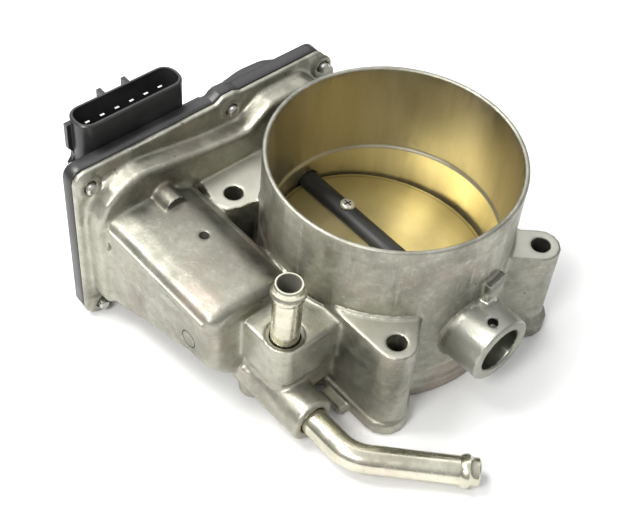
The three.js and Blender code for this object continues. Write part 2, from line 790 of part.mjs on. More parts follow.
function motorMagnet(side) {
  const spread = THREE.MathUtils.degToRad(58);
  const points = [];
  for (let k = 0; k <= 8; k += 1) {
    const angle = side * Math.PI / 2 - spread + 2 * spread * k / 8;
    points.push([14.0 * Math.cos(angle), 14.0 * Math.sin(angle)]);
  }
  for (let k = 8; k >= 0; k -= 1) {
    const angle = side * Math.PI / 2 - spread + 2 * spread * k / 8;
    points.push([11.4 * Math.cos(angle), 11.4 * Math.sin(angle)]);
  }
  return geometryOf(run(outline(points), -46, -12).translate([0, MOTOR_Y, MOTOR_Z]));
}
add('motor_magnet_1', motorMagnet(1), magnetFerrite());
add('motor_magnet_2', motorMagnet(-1), magnetFerrite());

add('motor_armature', turnedX([
  [0, -63.2],
  [MOTOR_SHAFT_R - 0.3, -63.2],
  [MOTOR_SHAFT_R, -62.9],
  [MOTOR_SHAFT_R, -52],
  [4.2, -52],
  [4.2, -47.5],
  [8.0, -46.5],
  [10.8, -44],
  [10.8, -14],
  [8.0, -11],
  [MOTOR_SHAFT_R, -10],
  [MOTOR_SHAFT_R, -3.6],
  [0, -3.6],
], MOTOR_Y, MOTOR_Z, 28), copperWound());

function motorEndPlate() {
  const plate = rodX(MOTOR_R, -56.3, -54.8, MOTOR_Y, MOTOR_Z, 36);
  const ears = MOTOR_SCREWS.map(([y, z]) => rodX(3.6, -56.3, -54.8, y, z, 20));
  const holes = MOTOR_SCREWS.map(([y, z]) => rodX(MOTOR_SCREW_R + GAP, -58, -54, y, z, 12));
  const shaftHole = rodX(MOTOR_SHAFT_R + 0.6, -58, -54, MOTOR_Y, MOTOR_Z, 16);
  const bladeHoles = [-1, 1].map((side) => block(
    -58,
    -54,
    MOTOR_Y - 9.7,
    MOTOR_Y - 8.3,
    MOTOR_Z + side * 5 - 1.8,
    MOTOR_Z + side * 5 + 1.8,
  ));
  return geometryOf(cut(union(plate, ...ears), ...holes, shaftHole, ...bladeHoles));
}
add('motor_end_plate', motorEndPlate(), zincSteel());

[-1, 1].forEach((side, i) => {
  const blade = add(`motor_blade_${i + 1}`, new THREE.BoxGeometry(7.0, 0.8, 3.0), tinned());
  blade.position.set(-57.0, MOTOR_Y - 9.0, MOTOR_Z + side * 5);
});

function motorScrew() {
  const body = solidOf(turnedX([
    [0, -57.7],
    [2.2, -57.7],
    [2.6, -57.4],
    [2.6, -56.6],
    [MOTOR_SCREW_R, -56.6],
    [MOTOR_SCREW_R, -48.0],
    [0, -47.6],
  ], 0, 0, 16));
  const slots = union(block(-60, -57.1, -1.6, 1.6, -0.3, 0.3), block(-60, -57.1, -0.3, 0.3, -1.6, 1.6));
  return geometryOf(cut(body, slots));
}
MOTOR_SCREWS.forEach(([y, z], i) => {
  add(`motor_screw_${i + 1}`, motorScrew(), brightSteel()).position.set(0, y, z);
});

// ---------------------------------------------------------------- gear cover and connector

const COVER_FACE_X = SEAM_X - GAP;

function shroudOutline(inset) {
  const r = SHROUD_CORNER_R - inset;
  return outline([
    [SHROUD_X0 + inset, SHROUD_Y0 + inset, r],
    [SHROUD_X1 - inset, SHROUD_Y0 + inset, r],
    [SHROUD_X1 - inset, SHROUD_Y1 - inset, r],
    [SHROUD_X0 + inset, SHROUD_Y1 - inset, r],
  ], 5);
}

function coverBody() {
  const raisedBack = outline([
    [-79.0, 54.8, 4],
    [-79.0, -3.4, 6],
    [24.0, -3.4, 6],
    [24.0, 49.0, 4],
    [17.0, 54.8, 3],
  ]);
  const hump = outline([
    [-20.0, 48],
    [19.0, 48],
    [13.5, 54.8, 6],
    [3.5, 59.0, 14],
    [-7.0, 59.6, 14],
    [-16.0, 57.4, 5],
    [-19.5, 53.5],
  ]);
  const skirt = run(rimOutline(0.2), SKIRT_X, COVER_FACE_X, 0.8, 2);
  const back = run(raisedBack, COVER_BACK_X, SKIRT_X + 2, 0.8, 2);
  const humpBody = run(hump, COVER_BACK_X + 1.6, SKIRT_X + 2, 0.8, 2);
  const shroud = raised(shroudOutline(0), 42, SHROUD_TOP, 0.45, 1);
  const endRib = block(-77.0, -75.2, SHROUD_Y0 - 1.6, SHROUD_Y0 + 2, 44, 68.5);
  const latches = [-57.8, -48.0].map((y) => block(-83.2, SHROUD_X0 + 1, y - 0.8, y + 0.8, 60, 69.6));
  const ribs = [-12, 4].map((y) => block(COVER_BACK_X - 1.0, COVER_BACK_X + 1, y, y + 1.6, 2, 50));
  return union(skirt, back, humpBody, shroud, endRib, ...latches, ...ribs);
}

function gearCover() {
  const backCavity = outline([
    [-76.5, 51.5, 4],
    [-76.5, -0.8, 4],
    [21.5, -0.8, 4],
    [21.5, 47.5, 4],
    [16.0, 51.5, 4],
  ]);
  const cavity = union(
    run(caseOutline(CASE_WALL), SKIRT_X + 0.5, SEAM_X + 1),
    run(backCavity, COVER_BACK_X + COVER_WALL, SKIRT_X + 0.6),
  );
  const groove = cut(
    run(caseOutline(-1.7), COVER_FACE_X - 1.4, SEAM_X + 1),
    run(caseOutline(1.3), COVER_FACE_X - 2, SEAM_X + 2),
  );
  const socket = raised(shroudOutline(SHROUD_WALL), SOCKET_FLOOR, SHROUD_TOP + 1);
  const screwHoles = COVER_SCREWS.flatMap(([y, z]) => [
    rodX(COVER_SCREW_R + GAP, SKIRT_X - 2, SEAM_X + 1, y, z, 12),
    rodX(4.4, COVER_BACK_X - 3, SKIRT_X + 0.3, y, z, 16),
  ]);
  const pinSlots = PIN_PLACES.flatMap((y) => [
    block(PIN_X - 0.65, PIN_X + 0.65, y - 1.1, y + 1.1, 49.7, SOCKET_FLOOR + 1),
    block(PIN_X - 0.65, PIN_X + 4, y - 1.1, y + 1.1, 49.7, 51.0),
  ]);
  const pinBoss = rodX(4.0, COVER_BACK_X + 1, -69.3, INTERMEDIATE_Y, INTERMEDIATE_Z, 24);
  const pinBossHole = rodX(PIN_R + GAP, COVER_BACK_X + COVER_WALL, -68, INTERMEDIATE_Y, INTERMEDIATE_Z, 16);
  const shell = cut(coverBody(), cavity, groove, socket, ...screwHoles, ...pinSlots);
  return geometryOf(cut(union(shell, pinBoss), pinBossHole));
}

const PIN_PLACES = [-2.5, -1.5, -0.5, 0.5, 1.5, 2.5].map((k) => PIN_MIDDLE_Y + k * PIN_PITCH);
add('gear_cover', gearCover(), blackPlastic());

function coverGasket() {
  const ring = cut(
    run(caseOutline(-1.3), COVER_FACE_X - 1.1, COVER_FACE_X),
    run(caseOutline(0.9), COVER_FACE_X - 2, COVER_FACE_X + 1),
  );
  return geometryOf(ring);
}
add('cover_gasket', coverGasket(), darkRubber());

function connectorPin() {
  const tip = block(-0.35, 0.35, -0.8, 0.8, 50.0, PIN_TOP);
  const foot = block(-0.35, 3.6, -0.8, 0.8, 50.0, 50.7);
  return geometryOf(union(tip, foot));
}
PIN_PLACES.forEach((y, i) => {
  add(`connector_pin_${i + 1}`, connectorPin(), tinned()).position.set(PIN_X, y, 0);
});

add('position_sensor', turnedX([
  [0, -71.7],
  [3.3, -71.7],
  [3.3, -69.4],
  [2.9, -69.0],
  [0, -69.0],
], 0, SHAFT_Z, 20), blackPlastic());

function coverScrew() {
  const body = solidOf(turnedX([
    [0, -70.2],
    [2.9, -70.2],
    [3.6, -69.5],
    [3.6, -67.8],
    [COVER_SCREW_R, -67.8],
    [COVER_SCREW_R, -57.9],
    [COVER_SCREW_R - 0.6, -57.3],
    [0, -57.3],
  ], 0, 0, 14));
  const hexagon = rodX(1.7, -72, -68.8, 0, 0, 6);
  return geometryOf(cut(body, hexagon));
}
COVER_SCREWS.forEach(([y, z], i) => {
  add(`cover_screw_${i + 1}`, coverScrew(), brightSteel()).position.set(0, y, z);
});

// ---------------------------------------------------------------- coolant pipes

// Hollow pipe in a level plane or upright: stations hold a centre, a direction and a radius.
function pipeGeometry(stations, steps = 20) {
  const positions = [];
  const hollow = stations.filter((s, i) => s.turning || i === 0 || i === stations.length - 1);
  const outerAndInner = [
    ...stations,
    ...hollow.map((s) => ({ ...s, r: PIPE_BORE_R })).reverse(),
  ];
  outerAndInner.forEach(({ at, along, side, r }) => {
    const across = new THREE.Vector3().crossVectors(along, side);
    for (let k = 0; k < steps; k += 1) {
      const angle = 2 * Math.PI * k / steps;
      const p = at.clone();
      p.addScaledVector(side, r * Math.cos(angle));
      p.addScaledVector(across, r * Math.sin(angle));
      positions.push(p.x, p.y, p.z);
    }
  });
  const rings = outerAndInner.length;
  const faces = [];
  for (let i = 0; i < rings; i += 1) {
    const from = i * steps;
    const to = ((i + 1) % rings) * steps;
    for (let k = 0; k < steps; k += 1) {
      const next = (k + 1) % steps;
      faces.push(from + k, from + next, to + next);
      faces.push(from + k, to + next, to + k);
    }
  }
  const geometry = new THREE.BufferGeometry();
  geometry.setAttribute('position', new THREE.Float32BufferAttribute(positions, 3));
  geometry.setIndex(faces);
  geometry.computeVertexNormals();
  return geometry;
}

// Radii along the last stretch of a pipe, by distance from its open end.
const BEAD_PROFILE = [
  [6.6, PIPE_R],
  [5.9, PIPE_R + 0.5],
  [4.9, BEAD_R],
  [3.6, BEAD_R],
  [2.8, PIPE_R + 0.2],
  [2.0, PIPE_R],
  [0.5, PIPE_R],
  [0.0, PIPE_R - 0.4],
];

function straightPipe() {
  const along = new THREE.Vector3(0, 0, 1);
  const side = new THREE.Vector3(1, 0, 0);
  const heights = [[BLOCK_TOP - 8.5, PIPE_R], ...BEAD_PROFILE.map(([d, r]) => [STRAIGHT_PIPE_TOP - d, r])];
  return pipeGeometry(heights.map(([z, r]) => (
    { at: new THREE.Vector3(PIPE_X, PIPE_Y, z), along, side, r }
  )));
}

function bentPipe() {
  const side = new THREE.Vector3(0, 0, 1);
  const reach = BEND_R * Math.tan(BEND_ANGLE / 2);
  const corner = new THREE.Vector3(BEND_CORNER_X, PIPE_Y, BENT_PIPE_Z);
  const out = new THREE.Vector3(Math.cos(BEND_ANGLE), Math.sin(BEND_ANGLE), 0);
  const along = new THREE.Vector3(1, 0, 0);
  const stations = [{
    at: new THREE.Vector3(BENT_BOSS_X - 6.5, PIPE_Y, BENT_PIPE_Z),
    along,
    side,
    r: PIPE_R,
  }];
  for (let k = 0; k <= 6; k += 1) {
    const angle = BEND_ANGLE * k / 6;
    stations.push({
      at: new THREE.Vector3(
        BEND_CORNER_X - reach + BEND_R * Math.sin(angle),
        PIPE_Y + BEND_R * (1 - Math.cos(angle)),
        BENT_PIPE_Z,
      ),
      along: new THREE.Vector3(Math.cos(angle), Math.sin(angle), 0),
      side,
      r: PIPE_R,
      turning: true,
    });
  }
  BEAD_PROFILE.forEach(([d, r]) => {
    stations.push({ at: corner.clone().addScaledVector(out, BEND_LEG - d), along: out, side, r });
  });
  return pipeGeometry(stations);
}

add('straight_coolant_pipe', straightPipe(), zincSteel());
add('bent_coolant_pipe', bentPipe(), zincSteel());

export default model;
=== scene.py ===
import math

import bmesh
import bpy
import numpy as np
from mathutils import Matrix, Vector


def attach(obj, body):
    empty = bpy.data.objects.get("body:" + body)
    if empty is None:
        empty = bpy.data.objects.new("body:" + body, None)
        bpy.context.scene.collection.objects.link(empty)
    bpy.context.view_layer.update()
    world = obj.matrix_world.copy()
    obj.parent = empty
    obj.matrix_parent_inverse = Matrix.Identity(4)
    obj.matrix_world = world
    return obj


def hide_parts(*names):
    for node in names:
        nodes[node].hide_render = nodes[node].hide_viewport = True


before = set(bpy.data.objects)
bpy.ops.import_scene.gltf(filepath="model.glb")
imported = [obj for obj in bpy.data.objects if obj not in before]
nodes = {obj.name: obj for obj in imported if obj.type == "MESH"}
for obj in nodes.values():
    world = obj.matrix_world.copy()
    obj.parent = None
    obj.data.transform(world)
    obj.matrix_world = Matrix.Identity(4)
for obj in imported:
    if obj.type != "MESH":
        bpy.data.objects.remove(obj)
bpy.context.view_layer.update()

MM = 0.001
WELD = 0.002 * MM        # points closer than this are one point

# ---------------------------------------------------------------- places known from the part

BORE_Y = 18.95 * MM      # the bore axis stands at x = 0
BORE_R = 40.0 * MM
INLET_FOOT_R = 40.8 * MM
INLET_R = 41.6 * MM
INLET_OUTER_R = 43.3 * MM
OUTSIDE_R = 44.2 * MM    # just outside the wall of the bore
BOLT_HOLE_R = 3.3 * MM
FACE_Z = 8.2 * MM        # manifold face
SHAFT_Z = FACE_Z + 25.4 * MM
STEP_Z = FACE_Z + 35.7 * MM
PLATE_TILT = math.radians(11)
PLATE_SCREW_X = 19.5 * MM
PLATE_SHADE_RING_R = 37.6 * MM # painted shade: a dark line near the plate's edge
RECESS_R = 1.7 * MM      # half the length of the cross recess and a little more
RECESS_TOP = 5.45 * MM   # height of its mouth over the shaft axis
LUG_TOP_Z = FACE_Z + 40.0 * MM
RIM_Z = FACE_Z + 70.8 * MM
COATED_R = 42.2 * MM     # everything nearer the bore axis than this is the coated bore
BOSS_START_X = 43.0 * MM
BOSS_END_X = 57.7 * MM
BOSS_R = 12.5 * MM
BOSS_SKIN_R = 13.2 * MM  # just outside the boss
BOSS_MASK_R = 8.9 * MM   # just outside its bore
BOSS_BORE_R = 8.3 * MM
MOTOR_TOP_Z = 50.0 * MM  # everything on the motor housing's top is above this
VENT_X = 52.8 * MM       # a small hole from above into the shaft boss
VENT_TILT = math.radians(8.8)
VENT_MASK_R = 1.75 * MM
DIMPLE = (-27.8 * MM, BORE_Y - 56.4 * MM)
DIMPLE_R = 1.7 * MM
MOTOR_SIDE_Y = BORE_Y - 77.5 * MM
SIDE_RING = (-8.6 * MM, FACE_Z + 26.27 * MM)
SIDE_RING_R = 3.2 * MM
SEAM_X = -62.1 * MM      # where the cover meets the gear case

# ---------------------------------------------------------------- camera

CAMERA_AT = Vector((192.4 * MM, -209.1 * MM, 360.9 * MM))
CAMERA_AZIMUTH = math.radians(44.118)    # how far it stands to the right of the front
CAMERA_ELEVATION = math.radians(48.844)  # how steeply it looks down
CAMERA_ROLL = math.radians(6.251)
CAMERA_SENSOR = 36.0     # mm
CAMERA_LENS = 71.46      # mm


def make_camera():
    data = bpy.data.cameras.new("camera")
    data.sensor_width = CAMERA_SENSOR
    data.lens = CAMERA_LENS
    data.clip_start = 0.01
    data.clip_end = 20.0
    camera = bpy.data.objects.new("camera", data)
    bpy.context.scene.collection.objects.link(camera)
    turn = Matrix.Rotation(CAMERA_AZIMUTH, 4, "Z")
    turn @= Matrix.Rotation(math.pi / 2 - CAMERA_ELEVATION, 4, "X")
    turn @= Matrix.Rotation(CAMERA_ROLL, 4, "Z")
    camera.matrix_world = Matrix.Translation(CAMERA_AT) @ turn
    bpy.context.scene.camera = camera


# ---------------------------------------------------------------- node helpers


class Surface:
    """A principled material and short ways to add nodes to it."""

    def __init__(self, name, metallic=0.0):
        self.material = bpy.data.materials.new(name)
        self.material.use_nodes = True
        self.tree = self.material.node_tree
        self.shader = self.tree.nodes["Principled BSDF"]
        self.shader.inputs["Metallic"].default_value = metallic
        self.place = self.tree.nodes.new("ShaderNodeTexCoord").outputs["Object"]

    def put(self, socket, value):
        if isinstance(value, bpy.types.NodeSocket):
            self.tree.links.new(value, socket)
        else:
            socket.default_value = value

    def maths(self, operation, a, b=0.0, c=0.0):
        node = self.tree.nodes.new("ShaderNodeMath")
        node.operation = operation
        for socket, value in zip(node.inputs, (a, b, c)):
            self.put(socket, value)
        return node.outputs[0]

    def all_of(self, mask, *others):
        for other in others:
            mask = self.maths("MULTIPLY", mask, other)
        return mask

    def any_of(self, mask, *others):
        for other in others:
            mask = self.maths("MAXIMUM", mask, other)
        return mask

    def length(self, a, b):
        squares = self.maths("ADD", self.maths("MULTIPLY", a, a), self.maths("MULTIPLY", b, b))
        return self.maths("SQRT", squares)

    def distance(self, a, b, centre):
        return self.length(self.maths("SUBTRACT", a, centre[0]), self.maths("SUBTRACT", b, centre[1]))

    def axes(self, vector=None):
        node = self.tree.nodes.new("ShaderNodeSeparateXYZ")
        self.put(node.inputs[0], vector or self.place)
        return node.outputs[0], node.outputs[1], node.outputs[2]

    def scaled(self, scale, vector=None):
        node = self.tree.nodes.new("ShaderNodeMapping")
        node.inputs["Scale"].default_value = scale
        self.put(node.inputs["Vector"], vector or self.place)
        return node.outputs[0]

    def noise(self, scale, detail=4.0, roughness=0.55, vector=None, distortion=0.0):
        node = self.tree.nodes.new("ShaderNodeTexNoise")
        node.inputs["Scale"].default_value = scale
        node.inputs["Detail"].default_value = detail
        node.inputs["Roughness"].default_value = roughness
        node.inputs["Distortion"].default_value = distortion
        self.put(node.inputs["Vector"], vector or self.place)
        return node.outputs["Fac"]

    def grade(self, value, low, high, out_low=0.0, out_high=1.0):
        node = self.tree.nodes.new("ShaderNodeMapRange")
        node.interpolation_type = "SMOOTHSTEP"
        self.put(node.inputs["Value"], value)
        node.inputs["From Min"].default_value = low
        node.inputs["From Max"].default_value = high
        node.inputs["To Min"].default_value = out_low
        node.inputs["To Max"].default_value = out_high
        return node.outputs["Result"]

    def mix(self, share, a, b):
        node = self.tree.nodes.new("ShaderNodeMix")
        node.data_type = "RGBA"
        self.put(node.inputs["Factor"], share)
        for socket, value in ((node.inputs[6], a), (node.inputs[7], b)):
            if isinstance(value, bpy.types.NodeSocket):
                self.put(socket, value)
            else:
                socket.default_value = (*value, 1.0)
        return node.outputs[2]

    def blend(self, share, a, b):
        node = self.tree.nodes.new("ShaderNodeMix")
        node.data_type = "FLOAT"
        self.put(node.inputs["Factor"], share)
        self.put(node.inputs[2], a)
        self.put(node.inputs[3], b)
        return node.outputs[0]

    def bump(self, height, strength, distance, normal=None):
        node = self.tree.nodes.new("ShaderNodeBump")
        self.put(node.inputs["Strength"], strength)
        node.inputs["Distance"].default_value = distance
        self.put(node.inputs["Height"], height)
        if normal is not None:
            self.put(node.inputs["Normal"], normal)
        return node.outputs[0]

    def rounded(self, radius):
        node = self.tree.nodes.new("ShaderNodeBevel")
        node.samples = 6
        node.inputs["Radius"].default_value = radius
        return node.outputs[0]

    def edges(self, radius, low=0.02, high=0.3):
        """1 where the surface turns sharply within the radius, 0 where it is flat."""
        true_normal = self.tree.nodes.new("ShaderNodeNewGeometry").outputs["Normal"]
        product = self.tree.nodes.new("ShaderNodeVectorMath")
        product.operation = "DOT_PRODUCT"
        self.put(product.inputs[0], self.rounded(radius))
        self.put(product.inputs[1], true_normal)
        turned = self.maths("SUBTRACT", 1.0, product.outputs["Value"])
        return self.grade(turned, low, high)

    def finish(self, colour, roughness, normal):
        self.put(self.shader.inputs["Base Color"], colour)
        self.put(self.shader.inputs["Roughness"], roughness)
        self.put(self.shader.inputs["Normal"], normal)
        return self.material


# ---------------------------------------------------------------- materials


class Casting(Surface):
    """The housing's material, with masks that pick out the places of the housing that look different."""

    def __init__(self):
        super().__init__("cast_aluminium", metallic=1.0)
        self.x, self.y, self.z = self.axes()
        self.from_bore_y = self.maths("SUBTRACT", self.y, BORE_Y)
        self.from_shaft_z = self.maths("SUBTRACT", self.z, SHAFT_Z)
        self.bore_radius = self.length(self.x, self.from_bore_y)
        self.shaft_radius = self.length(self.from_bore_y, self.from_shaft_z)
        self.patches = self.noise(75.0, 6.0, 0.65)
        self.spots = self.grade(self.noise(210.0, 2.0, 0.5), 0.72, 0.78, 0.0, 0.7)
        self.outside = self.maths("GREATER_THAN", self.bore_radius, OUTSIDE_R)
        self.coated = self.coated_bore()
        self.boss_bore = self.bore_of_boss()
        self.boss_skin = self.outside_of_boss()
        self.vent = self.vent_of_boss()
        rim = self.maths("GREATER_THAN", self.z, RIM_Z - 0.5 * MM)
        boss_face = self.maths("GREATER_THAN", self.x, BOSS_END_X - 0.3 * MM)
        seam = self.maths("LESS_THAN", self.x, SEAM_X + 0.35 * MM)
        self.grey_faces = self.any_of(rim, boss_face)
        self.machined = self.any_of(self.lug_tops(), self.grey_faces, seam, self.boss_bore)
        self.dimple_shade_and_ring = self.shaded_dimple_and_ring()

    def coated_bore(self):
        in_bore = self.maths("LESS_THAN", self.bore_radius, COATED_R)
        below_rim = self.maths("LESS_THAN", self.z, RIM_Z - 0.45 * MM)
        return self.all_of(in_bore, below_rim)

    def lug_tops(self):
        true_normal = self.tree.nodes.new("ShaderNodeNewGeometry").outputs["Normal"]
        level = self.maths("GREATER_THAN", self.axes(true_normal)[2], 0.96)
        near_top = self.maths("COMPARE", self.z, LUG_TOP_Z, 0.25 * MM)
        return self.all_of(level, near_top, self.outside)

    def bore_of_boss(self):
        near_axis = self.maths("LESS_THAN", self.shaft_radius, BOSS_MASK_R)
        past_start = self.maths("GREATER_THAN", self.x, BOSS_START_X)
        return self.all_of(near_axis, past_start)

    def outside_of_boss(self):
        near_axis = self.maths("LESS_THAN", self.shaft_radius, BOSS_SKIN_R)
        past_start = self.grade(self.x, BOSS_START_X + 0.6 * MM, BOSS_START_X + 2.2 * MM)
        return self.all_of(near_axis, past_start)

    def vent_of_boss(self):
        # the walls of the vent hole, where metal_colour paints shade
        along = self.maths("SUBTRACT", self.x, VENT_X)
        lean = self.maths("MULTIPLY", self.from_shaft_z, math.tan(VENT_TILT))
        across = self.maths("ADD", self.from_bore_y, lean)
        in_hole = self.maths("LESS_THAN", self.length(along, across), VENT_MASK_R)
        above_bore = self.maths("GREATER_THAN", self.from_shaft_z, 7.0 * MM)
        in_wall = self.maths("LESS_THAN", self.shaft_radius, BOSS_R - 0.6 * MM)
        return self.all_of(in_hole, above_bore, in_wall)

    def motor_top_shade(self):
        """Painted shade: a mask that grows towards the bore, over the top of the motor housing."""
        high = self.maths("GREATER_THAN", self.z, MOTOR_TOP_Z)
        clear_of_case = self.maths("GREATER_THAN", self.x, -50.0 * MM)
        towards_bore = self.grade(self.y, BORE_Y - 72.0 * MM, BORE_Y - 48.0 * MM, 0.1, 0.75)
        return self.all_of(high, clear_of_case, towards_bore, self.outside)

    def shaded_dimple_and_ring(self):
        """Painted shade in the dimple on top of the motor housing, and the thin dark ring on its side."""
        # the dimple, a small recess, is painted near black for the shade inside it
        dimple = self.maths("LESS_THAN", self.distance(self.x, self.y, DIMPLE), DIMPLE_R)
        dimple = self.all_of(dimple, self.maths("GREATER_THAN", self.z, MOTOR_TOP_Z))
        ring = self.maths("COMPARE", self.distance(self.x, self.z, SIDE_RING), SIDE_RING_R, 0.2 * MM)
        ring = self.all_of(ring, self.maths("LESS_THAN", self.y, MOTOR_SIDE_Y + 1.5 * MM))
        return self.maths("MULTIPLY", self.any_of(dimple, ring), 0.9)


def cast_colour(s):
    """Mottled grey with a fine grain, scuffs, stains and spots, brighter on worn edges, with painted shade
    over the motor housing's top and in its dimple.
    """
    clouds = s.noise(26.0, 5.0, 0.6, distortion=0.4)
    speckle = s.noise(1400.0, 3.0, 0.6)
    grain = s.noise(420.0, 5.0, 0.7)
    scuffs = s.noise(8.0, 5.0, 0.7, vector=s.scaled((28.0, 3.5, 14.0)), distortion=0.6)
    handled = s.noise(38.0, 5.0, 0.65, vector=s.scaled((1.0, 0.6, 1.0)))
    worn = s.all_of(s.edges(0.9 * MM), s.grade(s.patches, 0.3, 0.6, 0.25, 0.85))
    cast = s.mix(s.grade(clouds, 0.38, 0.64), (0.25, 0.246, 0.205), (0.41, 0.406, 0.343))
    cast = s.mix(s.grade(s.patches, 0.52, 0.74, 0.0, 0.45), cast, (0.60, 0.595, 0.52))
    cast = s.mix(s.grade(speckle, 0.55, 0.8, 0.0, 0.25), cast, (0.18, 0.175, 0.145))
    cast = s.mix(s.grade(grain, 0.52, 0.72, 0.0, 0.34), cast, (0.60, 0.595, 0.52))
    cast = s.mix(s.grade(grain, 0.48, 0.30, 0.0, 0.28), cast, (0.13, 0.125, 0.10))
    cast = s.mix(s.grade(scuffs, 0.66, 0.76, 0.0, 0.4), cast, (0.66, 0.655, 0.59))
    cast = s.mix(s.grade(handled, 0.53, 0.70, 0.0, 0.65), cast, (0.38, 0.315, 0.27))
    cast = s.mix(s.spots, cast, (0.12, 0.105, 0.08))
    # painted shade over the motor housing's top, darker towards the bore
    cast = s.mix(s.motor_top_shade(), cast, (0.145, 0.142, 0.118))
    cast = s.mix(worn, cast, (0.76, 0.755, 0.69))
    # painted shade in the dimple, and the dark ring on the side
    return s.mix(s.dimple_shade_and_ring, cast, (0.030, 0.028, 0.024))


def metal_colour(s):
    """The cast colour with the machined faces and the shaft boss laid over it, and painted shade in the
    boss's vent.
    """
    bright = s.mix(s.grade(s.patches, 0.3, 0.7), (0.46, 0.455, 0.395), (0.56, 0.555, 0.49))
    boss = s.mix(s.grade(s.patches, 0.3, 0.7), (0.34, 0.34, 0.30), (0.46, 0.46, 0.41))
    grey = s.mix(s.grade(s.patches, 0.35, 0.65), (0.27, 0.265, 0.225), (0.40, 0.395, 0.34))
    metal = s.mix(s.machined, cast_colour(s), bright)
    metal = s.mix(s.boss_skin, metal, boss)
    metal = s.mix(s.grey_faces, metal, grey)
    metal = s.mix(s.boss_bore, metal, (0.26, 0.27, 0.23))
    # painted shade: the vent hole is painted near black
    return s.mix(s.vent, metal, (0.02, 0.02, 0.018))


def coating_colour(s, streaks):
    """The coating inside the bore: dull above the step, a brighter gold band below it, with a painted grey
    reflection on its -x side and painted shade on its +x side.
    """
    lower_band = s.maths("LESS_THAN", s.z, STEP_Z - 0.9 * MM)
    ledge = s.maths("COMPARE", s.z, STEP_Z - 0.45 * MM, 0.6 * MM)
    # painted reflection: the coating is greyed on the -x side of the bore, near the shaft's end
    painted_reflection_at_minus_x = s.grade(s.x, -30.0 * MM, -40.0 * MM, 0.0, 0.55)
    # painted shade: the coating darkens on the +x side of the bore
    painted_shade_at_plus_x = s.grade(s.x, 25.0 * MM, 39.0 * MM, 0.0, 0.7)
    stains = s.grade(s.noise(140.0, 5.0, 0.7), 0.60, 0.78, 0.0, 0.4)
    upper = s.mix(s.grade(streaks, 0.35, 0.7), (0.41, 0.375, 0.27), (0.53, 0.49, 0.36))
    lower = s.mix(s.grade(streaks, 0.35, 0.7), (0.74, 0.67, 0.43), (0.86, 0.80, 0.56))
    gold = s.mix(lower_band, upper, lower)
    gold = s.mix(s.maths("MULTIPLY", ledge, 0.8), gold, (0.50, 0.48, 0.40))
    gold = s.mix(painted_reflection_at_minus_x, gold, (0.36, 0.34, 0.27))
    gold = s.mix(painted_shade_at_plus_x, gold, (0.30, 0.27, 0.17))
    return s.mix(stains, gold, (0.20, 0.16, 0.09))


def housing_roughness(s, streaks):
    roughness = s.grade(s.noise(110.0, 5.0, 0.6), 0.35, 0.7, 0.37, 0.58)
    roughness = s.blend(s.any_of(s.dimple_shade_and_ring, s.spots), roughness, 0.8)
    roughness = s.blend(s.machined, roughness, 0.50)
    roughness = s.blend(s.boss_skin, roughness, 0.42)
    roughness = s.blend(s.grey_faces, roughness, 0.52)
    roughness = s.blend(s.boss_bore, roughness, 0.34)
    roughness = s.blend(s.vent, roughness, 0.8)
    return s.blend(s.coated, roughness, s.grade(streaks, 0.3, 0.7, 0.36, 0.46))


def housing_relief(s):
    """Slow waves and a fine grain on the cast skin, and faint turning rings in the bore."""
    grain = s.noise(900.0, 3.0, 0.6)
    waves = s.noise(95.0, 3.0, 0.5)
    rings = s.noise(1.0, 2.0, 0.5, vector=s.scaled((20.0, 20.0, 3500.0)))
    rough_cast = s.maths("SUBTRACT", 1.0, s.any_of(s.coated, s.machined))
    normal = s.bump(waves, s.maths("MULTIPLY", rough_cast, 0.25), 0.9 * MM)
    normal = s.bump(grain, s.maths("MULTIPLY", rough_cast, 0.50), 0.12 * MM, normal)
    return s.bump(rings, s.maths("MULTIPLY", s.coated, 0.10), 0.04 * MM, normal)


def cast_aluminium():
    s = Casting()
    streaks = s.noise(60.0, 4.0, 0.6, vector=s.scaled((1.0, 1.0, 0.25)))
    colour = s.mix(s.coated, metal_colour(s), coating_colour(s, streaks))
    return s.finish(colour, housing_roughness(s, streaks), housing_relief(s))


def coated_plate():
    s = Surface("coated_plate", metallic=1.0)
    x, y, _ = s.axes()
    scratches = s.noise(3.0, 5.0, 0.6, vector=s.scaled((30.0, 210.0, 30.0)))
    clouds = s.noise(45.0, 4.0, 0.55)
    colour = s.mix(s.grade(clouds, 0.35, 0.7), (0.54, 0.46, 0.245), (0.66, 0.575, 0.325))
    colour = s.mix(s.grade(scratches, 0.62, 0.8, 0.0, 0.4), colour, (0.82, 0.76, 0.56))
    across = s.maths("DIVIDE", s.maths("SUBTRACT", y, BORE_Y), math.cos(PLATE_TILT))
    radius = s.length(x, across)
    # painted shade in a thin dark line near the plate's edge
    from_ring = s.maths("ABSOLUTE", s.maths("SUBTRACT", radius, PLATE_SHADE_RING_R))
    ring = s.grade(from_ring, 0.2 * MM, 0.6 * MM, 0.55, 0.0)
    # painted shadow of the bore's step and rim, growing towards the plate's edge
    towards_edge = s.grade(radius, 20.0 * MM, 38.0 * MM, 0.0, 0.75)
    painted_edge_shadow = s.maths("MULTIPLY", towards_edge, s.grade(clouds, 0.25, 0.6, 0.6, 1.0))
    colour = s.mix(painted_edge_shadow, colour, (0.27, 0.225, 0.115))
    colour = s.mix(ring, colour, (0.16, 0.13, 0.07))
    roughness = s.grade(clouds, 0.3, 0.7, 0.32, 0.42)
    normal = s.bump(scratches, 0.05, 0.05 * MM)
    normal = s.bump(s.noise(900.0, 3.0, 0.6), 0.08, 0.04 * MM, normal)
    return s.finish(colour, roughness, normal)


